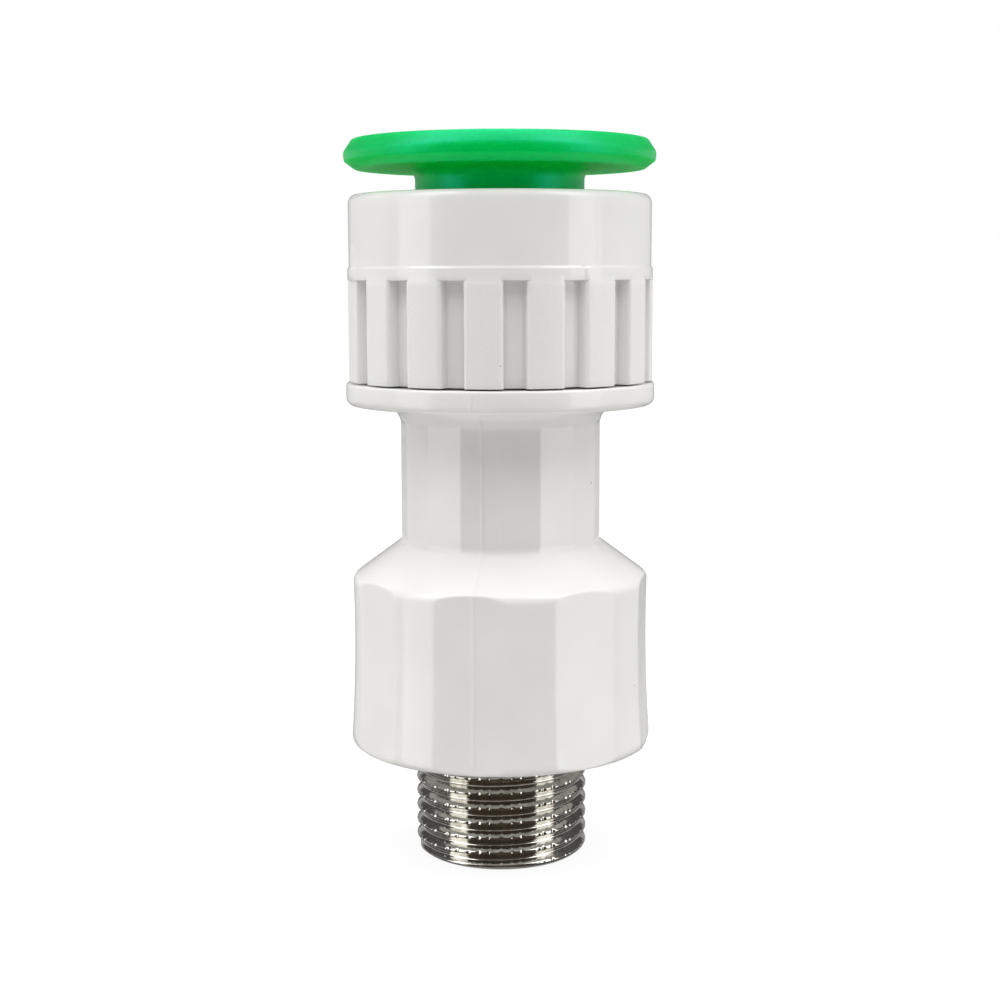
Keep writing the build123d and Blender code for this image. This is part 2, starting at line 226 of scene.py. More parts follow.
class InsertSizes(bpy.types.PropertyGroup):
    """Sizes of the plated brass insert and its pipe thread."""

    thread_r: length("Thread radius", 10.4775, "Radius over the thread's crests")
    thread_length: length("Thread length", 13.1, "Length of the thread")
    pitch: length("Pitch", 1.814, "Thread pitch, fourteen to the inch")
    depth: length("Depth", 0.8, "Depth of the thread between its rounded crests and roots")
    crest_round: share("Crest rounding", 0.1, "Share of the pitch that rounds each crest and root")
    crest_z: length("Crest height", 5.9, "Height of one crest at the front")
    chamfer: length("End chamfer", 0.95, "Chamfer of the thread's end")
    end_bulge: share("End bulge", 0.8, "How round that chamfer is, from 0 for a straight one")
    notches: count("Crest notches", 46, "Notches across the crest in one turn")
    notch_depth: length("Notch depth", 0.27, "Depth of the deepest crest notch")
    notch_width: length("Notch width", 0.62, "Width of the widest crest notch")
    notch_stray: share("Notch stray", 0.34, "How far a notch strays, as a share of their spacing")
    notch_seed: count("Notch seed", 11, "Seed of the notches' places and sizes")
    relief_r: length("Relief radius", 9.7, "Radius of the plain part above the thread")
    anchor_r: length("Anchor radius", 14.2, "Radius of the rings that hold the insert")
    anchor_core_r: length("Anchor core radius", 11.2, "Radius between those rings")
    anchor_height: length("Anchor height", 4.4, "Height of one ring")
    anchor_gap: length("Anchor gap", 2.6, "Gap between the rings")
    anchor_rise: length("Anchor rise", 16.5, "From the thread's end to the first ring")
    anchor_notches: count("Anchor notches", 12, "Round notches in each ring")
    anchor_notch_r: length("Anchor notch radius", 1.0, "Radius of a notch")
    top_r: length("Top radius", 10.4, "Radius of the insert's plain top")
    groove_r: length("Groove radius", 8.9, "Radius in the seal's groove")
    groove_width: length("Groove width", 2.4, "Width of the seal's groove")
    bore_r: length("Bore radius", 7.0, "Radius of the insert's bore")
    bore_chamfer: length("Bore chamfer", 0.5, "Chamfer of the bore's mouth")


class Finishes(bpy.types.PropertyGroup):
    """Colours of the fitting's materials."""

    white: colour("White plastic", "#e2e1de", "Warm white of the body and cap")
    speck: colour("Speck", "#77706a", "Dark specks in the white plastic")
    green: colour("Green plastic", "#009849", "Green of the release collar")
    nickel: colour("Nickel plating", "#cbc9c2", "Plating on the brass insert")
    grime: colour("Plating shade", "#64594c", "Darker, browner blotches of the plating")
    rubber: colour("Rubber", "#1d1d1f", "Black of the seals")
    steel: colour("Spring steel", "#b9bbbd", "Bright grab ring")
    natural: colour("Natural plastic", "#d9d6ca", "Uncoloured seat and spacer")


class StageSizes(bpy.types.PropertyGroup):
    """Camera, lamps and floor."""

    focal: FloatProperty(
        name="Focal length", description="Of the lens, on a sensor 36 mm wide", default=62.8
    )
    distance: length("Camera distance", 211.07, "From the fitting's axis to the camera")
    rise: length("Camera height", 71.0, "Height of the camera over the thread's end")
    pitch: angle("Camera pitch", 7.45, "How far the camera looks down")
    roll: angle("Camera roll", 0.15, "How far the camera leans")
    floor_half: length("Half floor", 3000, "Half the width of the floor")
    floor_white: share("Floor white", 0.55, "How much light the floor throws back at the fitting")
    floor_shade: share("Floor shade", 0.1, "Share of the floor that takes the fitting's shadow")
    floor_glow: share("Floor glow", 0.9, "Share of the floor that is white by itself")
    spread_low: levels("Soft light, low", (0.08, 2.4, 0.34), "Light on matt surfaces from below 30 degrees")
    spread_high: levels("Soft light, high", (3.03, 2.55, 1.58), "Light on matt surfaces from above 50 degrees")
    spread_top: share("Soft light, top", 2.8, "Light on matt surfaces from overhead")
    mirror_low: levels("Mirrored, low", (0.085, 0.1, 0.3), "Studio in reflections, below 25 degrees")
    mirror_level: levels("Mirrored, level", (0.085, 0.5, 0.15), "The same, from -14 to 6 degrees")
    mirror_high: levels("Mirrored, high", (0.28, 0.12, 3.4), "Studio in reflections, above 50 degrees")
    mirror_top: share("Mirrored, top", 2.6, "Studio in reflections, overhead")
    lamp_turn: angle("Lamp turn", 66, "Turn of the strip lamps to either side of the front")
    lamp_distance: length("Lamp distance", 900, "From the fitting to the lamps")
    lamp_width: length("Lamp width", 460, "Width of the strip lamps")
    lamp_low: share("Low lamps", 2.15, "How bright the low strip lamps look")
    lamp_high: share("High lamps", 3.2, "How bright the high strip lamps look")
    lamp_aim: length("Lamp aim", 45, "Height that the lamps look at")


GROUPS = {
    "body_sizes": BodySizes,
    "screw_sizes": ScrewSizes,
    "cap_sizes": CapSizes,
    "collar_sizes": CollarSizes,
    "insert_sizes": InsertSizes,
    "finishes": Finishes,
    "stage_sizes": StageSizes,
}


def radius_of(point):
    """Distance of a point from the fitting's axis."""
    return hypot(point.x, point.y)


def turn_of(point):
    """Turn of a point round the axis, from the front (-Y) towards +X."""
    return atan2(point.x, -point.y)


def from_nearest(turn, sides, first):
    """Signed turn from the nearest of several even directions."""
    step = FULL_TURN / sides
    return (turn - first + step / 2) % step - step / 2


def soft_least(a, b, blend):
    """The smaller of two lengths, rounded where they are alike."""
    reach = max(blend - abs(a - b), 0) / blend
    return min(a, b) - reach * reach * blend / 4


def ramp(value, low, high):
    """A smooth step from 0 at low to 1 at high."""
    share_done = min(max((value - low) / (high - low), 0), 1)
    return share_done * share_done * (3 - 2 * share_done)


def set_radius(vert, radius):
    """Move a vertex out or in along its own direction from the axis."""
    factor = radius / radius_of(vert.co)
    vert.co.x *= factor
    vert.co.y *= factor


def place_at(vert, radius, turn):
    """Move a vertex to a radius and turn at its own height."""
    vert.co.x = radius * sin(turn)
    vert.co.y = -radius * cos(turn)


def raise_mould_line(bm, size, steps, sides, least_r, low_z, high_z):
    """Raise the thin line where the mould's halves met, on one column of a turned mesh."""
    step = FULL_TURN / steps
    for vert in bm.verts:
        radius = radius_of(vert.co)
        if radius < least_r or not low_z < vert.co.z < high_z:
            continue
        off = from_nearest(turn_of(vert.co), sides, size.mould_turn)
        if abs(off) < step / 2:
            place_at(vert, radius + size.mould_height, turn_of(vert.co))
        elif abs(off) < 1.5 * step:
            drawn = size.mould_half / radius * (1 if off > 0 else -1)
            place_at(vert, radius, turn_of(vert.co) - off + drawn)


def round_corners(bm, corners, verts):
    """Round the corners of a flat section, each by its own radius."""
    for i, (r, z, rounding) in enumerate(corners):
        if not rounding:
            continue
        here = Vector((r, z))
        before = Vector(corners[i - 1][:2]) - here
        after = Vector(corners[(i + 1) % len(corners)][:2]) - here
        inside = before.angle(after)
        bmesh.ops.bevel(
            bm, geom=[verts[i]], offset=rounding / tan(inside / 2), offset_type="OFFSET",
            segments=max(4, ceil(rounding / (0.2 * MM))), profile=0.5, affect="VERTICES",
            clamp_overlap=False, material=-1,
        )


def turned_shape(corners, steps, longest, fine_r=0.0):
    """A closed turned shape from a half section of (radius, height, rounding) corners."""
    bm = bmesh.new()
    verts = [bm.verts.new((r, 0, z)) for r, z, rounding in corners]
    bm.faces.new(verts)
    round_corners(bm, corners, verts)
    bmesh.ops.delete(bm, geom=list(bm.faces), context="FACES_ONLY")
    parts = {}
    for edge in bm.edges:
        low_r = min(v.co.x for v in edge.verts)
        cuts = ceil(edge.calc_length() / longest) - 1
        if cuts > 0 and low_r >= fine_r:
            parts.setdefault(cuts, []).append(edge)
    for cuts, edges in sorted(parts.items()):
        bmesh.ops.subdivide_edges(bm, edges=edges, cuts=cuts)
    bmesh.ops.spin(
        bm, geom=bm.verts[:] + bm.edges[:], cent=(0, 0, 0), axis=(0, 0, 1), dvec=(0, 0, 0),
        angle=FULL_TURN, steps=steps, use_merge=True, use_normal_flip=False, use_duplicate=False,
    )
    bmesh.ops.remove_doubles(bm, verts=bm.verts, dist=0.0005 * MM)
    bmesh.ops.recalc_face_normals(bm, faces=bm.faces)
    return bm


def screw_ridge(bm, size, root_r, outward, start_z, steps_a_turn=72):
    """Add one closed trapezoid ridge that winds up a wall, sunk a little into it."""
    flank = (size.root_width - size.crest_width) / 2 / size.depth
    sunk_r = root_r - outward * size.sink
    crest_r = root_r + outward * size.depth
    half_sunk = size.root_width / 2 + size.sink * flank
    half_crest = size.crest_width / 2
    section = [
        (sunk_r, -half_sunk), (crest_r, -half_crest), (crest_r, half_crest), (sunk_r, half_sunk)
    ]
    ridge = bmesh.new()
    ring = [ridge.verts.new((r, 0, start_z + z)) for r, z in section]
    face = ridge.faces.new(ring)
    steps = round(size.turns * steps_a_turn)
    bmesh.ops.spin(
        ridge, geom=[face], cent=(0, 0, 0), axis=(0, 0, 1),
        dvec=(0, 0, size.pitch / steps_a_turn), angle=FULL_TURN * size.turns, steps=steps,
        use_merge=False, use_normal_flip=False, use_duplicate=True,
    )
    bmesh.ops.remove_doubles(ridge, verts=ridge.verts, dist=0.0005 * MM)
    bmesh.ops.recalc_face_normals(ridge, faces=ridge.faces)
    join(bm, ridge)


def join(bm, other):
    """Add another mesh's faces to this one."""
    holder = bpy.data.meshes.new("holder")
    other.to_mesh(holder)
    other.free()
    bm.from_mesh(holder)
    bpy.data.meshes.remove(holder)


def finish_piece(bm, name, materials, rides, replaces):
    """Make the modelled mesh a piece of the fitting, with its materials and its body."""
    mesh = bpy.data.meshes.new(name)
    bm.to_mesh(mesh)
    bm.free()
    mesh.shade_smooth()
    for material in materials:
        mesh.materials.append(material)
    piece = bpy.data.objects.new(name, mesh)
    bpy.context.scene.collection.objects.link(piece)
    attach(piece, rides)
    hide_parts(replaces)
    return piece


def steady_normals(piece):
    """Let large faces keep their own shading right up to a rounded edge."""
    steady = piece.modifiers.new("Steady normals", "WEIGHTED_NORMAL")
    steady.mode = "FACE_AREA"
    steady.weight = 50
    steady.keep_sharp = True


def add_node(tree, kind, values=None, links=None, **settings):
    """Add one node with its settings, its sockets' values and its incoming links."""
    made = tree.nodes.new(kind)
    for name, value in settings.items():
        setattr(made, name, value)
    for socket, value in (values or {}).items():
        made.inputs[socket].default_value = value
    for socket, source in (links or {}).items():
        output = source.outputs[0] if isinstance(source, bpy.types.Node) else source
        tree.links.new(output, made.inputs[socket])
    return made


def new_material(name, base, roughness, metallic=0.0, ior=None):
    """A material with one Principled shader; returns it with its tree and shader."""
    material = bpy.data.materials.new(name)
    material.use_nodes = True
    tree = material.node_tree
    shader = tree.nodes["Principled BSDF"]
    shader.inputs["Base Color"].default_value = (*base, 1.0)
    shader.inputs["Roughness"].default_value = roughness
    shader.inputs["Metallic"].default_value = metallic
    if ior:
        shader.inputs["IOR"].default_value = ior
    return material, tree, shader


def object_point(tree):
    """Object coordinates, which are metres in the fitting's own frame."""
    return add_node(tree, "ShaderNodeTexCoord").outputs["Object"]


def shade(base, factor):
    """A colour made darker or brighter by a factor, for a colour socket."""
    return (*(c * factor for c in base), 1.0)


def specked(tree, point, ground, speck, cell, radius):
    """A ground colour with sparse round specks, one or none to a cell."""
    cells = add_node(tree, "ShaderNodeTexVoronoi", {"Scale": 1 / cell}, {"Vector": point})
    reach = radius / cell
    mark = add_node(
        tree, "ShaderNodeMapRange",
        {"From Min": reach * 0.6, "From Max": reach, "To Min": 1.0, "To Max": 0.0}, {"Value": cells},
    )
    return add_node(
        tree, "ShaderNodeMix", {7: (*speck, 1.0)}, {"Factor": mark, 6: ground}, data_type="RGBA"
    ).outputs[2]


def glossy_white_plastic(colours):
    """Moulded polypropylene, polished mould: even warm white, sharp reflections, faint orange
    peel from the flow of the melt, and a few dark specks of burnt granulate."""
    material, tree, shader = new_material("glossy_moulded_polypropylene", colours.white, 0.11, ior=1.49)
    point = object_point(tree)
    cloud = add_node(tree, "ShaderNodeTexNoise", {"Scale": 1 / (9 * MM)}, {"Vector": point})
    tone = add_node(tree, "ShaderNodeMapRange", {"From Min": 0.35, "From Max": 0.65}, {"Value": cloud})
    ground = add_node(
        tree, "ShaderNodeMix", {6: shade(colours.white, 0.98), 7: shade(colours.white, 1.02)},
        {"Factor": tone}, data_type="RGBA",
    ).outputs[2]
    marked = specked(tree, point, ground, colours.speck, 5.5 * MM, 0.11 * MM)
    tree.links.new(marked, shader.inputs["Base Color"])
    smear = add_node(
        tree, "ShaderNodeTexNoise", {"Scale": 1 / (2.5 * MM), "Detail": 4.0}, {"Vector": point}
    )
    polish = add_node(
        tree, "ShaderNodeMapRange",
        {"From Min": 0.3, "From Max": 0.7, "To Min": 0.08, "To Max": 0.15}, {"Value": smear},
    )
    tree.links.new(polish.outputs[0], shader.inputs["Roughness"])
    peel = add_node(tree, "ShaderNodeTexNoise", {"Scale": 1 / (1.4 * MM)}, {"Vector": point})
    wave = add_node(
        tree, "ShaderNodeTexNoise", {"Scale": 1 / (7 * MM), "Detail": 1.0}, {"Vector": point}
    )
    fine = add_node(tree, "ShaderNodeBump", {"Distance": 0.004 * MM}, {"Height": peel})
    broad = add_node(
        tree, "ShaderNodeBump", {"Distance": 0.03 * MM}, {"Height": wave, "Normal": fine}
    )
    tree.links.new(broad.outputs[0], shader.inputs["Normal"])
    shader.inputs["Subsurface Weight"].default_value = 0.08
    shader.inputs["Subsurface Radius"].default_value = (1.0, 0.9, 0.75)
    shader.inputs["Subsurface Scale"].default_value = 0.8 * MM
    return material


def eroded_white_plastic(colours):
    """The same polypropylene on a spark-eroded mould face: matte, with a fine pitted grain that
    is drawn at 0.3 mm, coarser than the real 0.05 mm, so that it shows."""
    material, tree, shader = new_material("spark_eroded_polypropylene", colours.white, 0.48, ior=1.49)
    point = object_point(tree)
    grain = add_node(
        tree, "ShaderNodeTexNoise", {"Scale": 1 / (0.3 * MM), "Detail": 3.0, "Roughness": 0.6},
        {"Vector": point},
    )
    tone = add_node(tree, "ShaderNodeMapRange", {"From Min": 0.35, "From Max": 0.65}, {"Value": grain})
    ground = add_node(
        tree, "ShaderNodeMix", {6: shade(colours.white, 0.97), 7: shade(colours.white, 1.0)},
        {"Factor": tone}, data_type="RGBA",
    ).outputs[2]
    marked = specked(tree, point, ground, colours.speck, 4.5 * MM, 0.1 * MM)
    tree.links.new(marked, shader.inputs["Base Color"])
    matte = add_node(
        tree, "ShaderNodeMapRange",
        {"From Min": 0.3, "From Max": 0.7, "To Min": 0.42, "To Max": 0.56}, {"Value": grain},
    )
    tree.links.new(matte.outputs[0], shader.inputs["Roughness"])
    pits = add_node(tree, "ShaderNodeBump", {"Distance": 0.03 * MM}, {"Height": grain})
    tree.links.new(pits.outputs[0], shader.inputs["Normal"])
    return material


def green_plastic(colours):
    """Moulded acetal, dyed in the melt: light shines into it and fills the shade below the rim,
    and a fine frosted grain, drawn at 0.28 mm so that it shows, spreads green-blue highlights."""
    material, tree, shader = new_material("frosted_green_acetal", colours.green, 0.36, ior=1.72)
    point = object_point(tree)
    grain = add_node(
        tree, "ShaderNodeTexNoise", {"Scale": 1 / (0.28 * MM), "Detail": 3.0, "Roughness": 0.65},
        {"Vector": point},
    )
    tone = add_node(tree, "ShaderNodeMapRange", {"From Min": 0.38, "From Max": 0.7}, {"Value": grain})
    ground = add_node(
        tree, "ShaderNodeMix", {6: shade(colours.green, 0.95), 7: shade(colours.green, 1.14)},
        {"Factor": tone}, data_type="RGBA",
    )
    tree.links.new(ground.outputs[2], shader.inputs["Base Color"])
    frost = add_node(
        tree, "ShaderNodeMapRange",
        {"From Min": 0.3, "From Max": 0.7, "To Min": 0.28, "To Max": 0.44}, {"Value": grain},
    )
    tree.links.new(frost.outputs[0], shader.inputs["Roughness"])
    wave = add_node(
        tree, "ShaderNodeTexNoise", {"Scale": 1 / (5 * MM), "Detail": 1.0}, {"Vector": point}
    )
    soft = add_node(tree, "ShaderNodeBump", {"Distance": 0.03 * MM}, {"Height": wave})
    fine = add_node(
        tree, "ShaderNodeBump", {"Distance": 0.02 * MM}, {"Height": grain, "Normal": soft}
    )
    tree.links.new(fine.outputs[0], shader.inputs["Normal"])
    shader.inputs["Specular Tint"].default_value = (0.03, 0.9, 1.0, 1.0)
    shader.inputs["Subsurface Weight"].default_value = 1.0
    shader.inputs["Subsurface Radius"].default_value = (0.15, 1.0, 0.45)
    shader.inputs["Subsurface Scale"].default_value = 16 * MM
    return material


def nickel_plate(colours):
    """Bright nickel on turned brass: warm grey mirror with fine turning marks along the
    thread, drawn 0.12 mm apart so that they show, and browner blotches where grime sits."""
    material, tree, shader = new_material("nickel_plated_brass", colours.nickel, 0.14, metallic=1.0)
    point = object_point(tree)
    blotch = add_node(
        tree, "ShaderNodeTexNoise", {"Scale": 1 / (1.2 * MM), "Detail": 5.0, "Roughness": 0.6},
        {"Vector": point},
    )
    grime = add_node(
        tree, "ShaderNodeMapRange", {"From Min": 0.45, "From Max": 0.75, "To Max": 0.5},
        {"Value": blotch},
    )
    ground = add_node(
        tree, "ShaderNodeMix", {6: (*colours.nickel, 1.0), 7: (*colours.grime, 1.0)},
        {"Factor": grime}, data_type="RGBA",
    )
    tree.links.new(ground.outputs[2], shader.inputs["Base Color"])
    polish = add_node(
        tree, "ShaderNodeMapRange",
        {"From Min": 0.3, "From Max": 0.7, "To Min": 0.06, "To Max": 0.16}, {"Value": blotch},
    )
    tree.links.new(polish.outputs[0], shader.inputs["Roughness"])
    squeezed = add_node(tree, "ShaderNodeMapping", {"Scale": (0.05, 0.05, 1.0)}, {"Vector": point})
    marks = add_node(
        tree, "ShaderNodeTexNoise", {"Scale": 1 / (0.12 * MM), "Detail": 1.0}, {"Vector": squeezed}
    )
    pits = add_node(tree, "ShaderNodeTexNoise", {"Scale": 1 / (0.35 * MM)}, {"Vector": point})
    turned = add_node(tree, "ShaderNodeBump", {"Distance": 0.0015 * MM}, {"Height": marks})
    worn = add_node(
        tree, "ShaderNodeBump", {"Distance": 0.003 * MM}, {"Height": pits, "Normal": turned}
    )
    tree.links.new(worn.outputs[0], shader.inputs["Normal"])
    return material


def black_rubber(colours):
    """Moulded EPDM rubber: black, dull, with a dusty bloom."""
    material, tree, shader = new_material("moulded_epdm_rubber", colours.rubber, 0.6, ior=1.52)
    bloom = add_node(
        tree, "ShaderNodeTexNoise", {"Scale": 1 / (2 * MM), "Detail": 4.0},
        {"Vector": object_point(tree)},
    )
    ground = add_node(
        tree, "ShaderNodeMix", {6: (*colours.rubber, 1.0), 7: shade(colours.rubber, 2.5)},
        {"Factor": bloom}, data_type="RGBA",
    )
    tree.links.new(ground.outputs[2], shader.inputs["Base Color"])
    dull = add_node(
        tree, "ShaderNodeMapRange",
        {"From Min": 0.3, "From Max": 0.7, "To Min": 0.5, "To Max": 0.7}, {"Value": bloom},
    )
    tree.links.new(dull.outputs[0], shader.inputs["Roughness"])
    return material


def spring_steel(colours):
    """Stamped stainless spring strip: cool grey, rolled finish with a faint grain along it,
    drawn 0.15 mm wide so that it shows."""
    material, tree, shader = new_material("stamped_spring_steel", colours.steel, 0.25, metallic=1.0)
    squeezed = add_node(
        tree, "ShaderNodeMapping", {"Scale": (1.0, 0.06, 1.0)}, {"Vector": object_point(tree)}
    )
    rolled = add_node(tree, "ShaderNodeTexNoise", {"Scale": 1 / (0.15 * MM)}, {"Vector": squeezed})
    sheen = add_node(
        tree, "ShaderNodeMapRange",
        {"From Min": 0.3, "From Max": 0.7, "To Min": 0.2, "To Max": 0.34}, {"Value": rolled},
    )
    tree.links.new(sheen.outputs[0], shader.inputs["Roughness"])
    lines = add_node(tree, "ShaderNodeBump", {"Distance": 0.004 * MM}, {"Height": rolled})
    tree.links.new(lines.outputs[0], shader.inputs["Normal"])
    return material


def natural_acetal(colours):
    """Uncoloured moulded acetal: milky, half matte, a little light shines through it."""
    material, tree, shader = new_material("natural_moulded_acetal", colours.natural, 0.38, ior=1.48)
    point = object_point(tree)
    milk = add_node(tree, "ShaderNodeTexNoise", {"Scale": 1 / (3 * MM)}, {"Vector": point})
    ground = add_node(
        tree, "ShaderNodeMix", {6: (*colours.natural, 1.0), 7: shade(colours.natural, 0.94)},
        {"Factor": milk}, data_type="RGBA",
    )
    tree.links.new(ground.outputs[2], shader.inputs["Base Color"])
    grain = add_node(tree, "ShaderNodeTexNoise", {"Scale": 1 / (0.4 * MM)}, {"Vector": point})
    fine = add_node(tree, "ShaderNodeBump", {"Distance": 0.01 * MM}, {"Height": grain})
    tree.links.new(fine.outputs[0], shader.inputs["Normal"])
    shader.inputs["Subsurface Weight"].default_value = 0.1
    shader.inputs["Subsurface Scale"].default_value = 0.8 * MM
    return material


def finish(name):
    """The fitting's material of that finish, made on first use."""
    makers = {
        "glossy_moulded_polypropylene": glossy_white_plastic,
        "spark_eroded_polypropylene": eroded_white_plastic,
        "frosted_green_acetal": green_plastic,
        "nickel_plated_brass": nickel_plate,
        "moulded_epdm_rubber": black_rubber,
        "stamped_spring_steel": spring_steel,
        "natural_moulded_acetal": natural_acetal,
    }
    if name not in bpy.data.materials:
        makers[name](bpy.context.scene.finishes)
    return bpy.data.materials[name]


class FITTING_OT_body(bpy.types.Operator):
    """Model the white body with its flats, sixteen-sided neck, flange and spigot"""

    bl_idname = "fitting.body"
    bl_label = "Body"

    steps = 384

    def section(self, size, insert):
        """The body's half section, outside first and then down through its bores."""
        foot_z = BODY_LOW.z
        top_z = foot_z + size.bell_height
        neck_z = top_z + size.shoulder_height
        flange_z = neck_z + size.neck_length
        flange_top_z = flange_z + size.flange_height
        chamber_z = flange_z + size.chamber_rise
        stop_z = chamber_z - size.socket_length
        spigot_z = BODY_HIGH.z
        anchor_z = insert.anchor_rise
        ring_z = anchor_z + insert.anchor_height
        upper_z = ring_z + insert.anchor_gap
        upper_top_z = upper_z + insert.anchor_height
        groove_z = (upper_top_z + INSERT_HIGH.z) / 2
        half_groove = insert.groove_width / 2
        return [
            (insert.relief_r, foot_z, 0),
            (size.foot_r, foot_z, size.foot_round),
            (size.top_r, top_z, size.top_round),
            (size.neck_r, neck_z, 0),
            (size.neck_r, flange_z, size.neck_round),
            (BODY_HIGH.x, flange_z, size.flange_under_round),
            (BODY_HIGH.x, flange_top_z, size.flange_top_round),
            (size.spigot_r, flange_top_z, 0),
            (size.spigot_r, spigot_z, size.spigot_round),
            (size.chamber_r + size.chamber_lead, spigot_z, 0),
            (size.chamber_r, spigot_z - size.chamber_lead, 0),
            (size.chamber_r, chamber_z, 0),
            (size.socket_r + size.socket_lead, chamber_z, 0),
            (size.socket_r, chamber_z - size.socket_lead, 0),
            (size.socket_r, stop_z, 0),
            (size.waterway_r, stop_z, 0),
            (size.waterway_r, INSERT_HIGH.z, 0),
            (insert.top_r, INSERT_HIGH.z, 0),
            (insert.top_r, groove_z + half_groove, 0),
            (size.seat_seal_r, groove_z + half_groove, 0),
            (size.seat_seal_r, groove_z - half_groove, 0),
            (insert.top_r, groove_z - half_groove, 0),
            (insert.top_r, upper_top_z, 0),
            (insert.anchor_r, upper_top_z, 0),
            (insert.anchor_r, upper_z, 0),
            (insert.anchor_core_r, upper_z, 0),
            (insert.anchor_core_r, ring_z, 0),
            (insert.anchor_r, ring_z, 0),
            (insert.anchor_r, anchor_z, 0),
            (insert.relief_r, anchor_z, 0),
        ]

    def press_bell(self, bm, size):
        """Draw the bell's side in to its waist and press its flats."""
        foot_z = BODY_LOW.z
        top_z = foot_z + size.bell_height
        neck_z = top_z + size.shoulder_height
        waist = size.waist_r - (size.foot_r + size.top_r) / 2
        for vert in bm.verts:
            radius = radius_of(vert.co)
            z = vert.co.z
            if z > neck_z or radius < size.waist_from_r:
                continue
            rise = min((z - foot_z) / size.bell_height, 1)
            shown = ramp(radius, size.waist_from_r, size.waist_r - size.foot_round)
            drawn = radius + waist * 4 * rise * (1 - rise) * shown
            side = size.foot_r + (size.top_r - size.foot_r) * rise + waist * 4 * rise * (1 - rise)
            off = from_nearest(turn_of(vert.co), size.flats, size.flat_turn)
            flat_r = side * cos(size.flat_half) / cos(off)
            set_radius(vert, soft_least(drawn, flat_r, size.flat_edge))

    def press_neck(self, bm, size):
        """Flatten the neck's sides."""
        foot_z = BODY_LOW.z
        neck_z = foot_z + size.bell_height + size.shoulder_height
        high_z = neck_z + size.neck_length - size.neck_clear
        reach = size.neck_r * cos(pi / size.neck_sides)
        for vert in bm.verts:
            radius = radius_of(vert.co)
            if neck_z - 1e-6 < vert.co.z < high_z and size.neck_r * 1.05 > radius > reach:
                off = from_nearest(turn_of(vert.co), size.neck_sides, pi / size.neck_sides)
                set_radius(vert, min(radius, reach / cos(off)))

    def notch_seat(self, bm, insert):
        """Fill the insert's anchor notches with plastic."""
        for vert in bm.verts:
            press_notch(vert, insert)

    def execute(self, context):
        scene = context.scene
        size = scene.body_sizes
        insert = scene.insert_sizes
        bm = turned_shape(self.section(size, insert), self.steps, 0.6 * MM, fine_r=11.6 * MM)
        self.press_bell(bm, size)
        self.press_neck(bm, size)
        self.notch_seat(bm, insert)
        top_z = BODY_LOW.z + size.bell_height
        flange_top_z = top_z + size.shoulder_height + size.neck_length + size.flange_height
        raise_mould_line(
            bm, size, self.steps, 2, size.waist_from_r, BODY_LOW.z + size.foot_round, top_z
        )
        raise_mould_line(
            bm, size, self.steps, 2, size.neck_r * 0.97, top_z, flange_top_z - size.flange_top_round
        )
        screw = scene.screw_sizes
        start_z = flange_top_z + screw.start + screw.root_width / 2
        screw_ridge(bm, screw, size.spigot_r, 1, start_z)
        piece = finish_piece(
            bm, "moulded_body", [finish("glossy_moulded_polypropylene")], "main", "body",
        )
        steady_normals(piece)
        return {"FINISHED"}


def press_notch(vert, insert):
    """Draw a vertex on an anchor ring in where one of the ring's round notches is."""
    radius = radius_of(vert.co)
    if abs(radius - insert.anchor_r) > 0.01 * MM:
        return
    off = from_nearest(turn_of(vert.co), insert.anchor_notches, 0)
    aside = insert.anchor_r * sin(off)
    if abs(aside) < insert.anchor_notch_r:
        set_radius(vert, insert.anchor_r - sqrt(insert.anchor_notch_r ** 2 - aside ** 2))


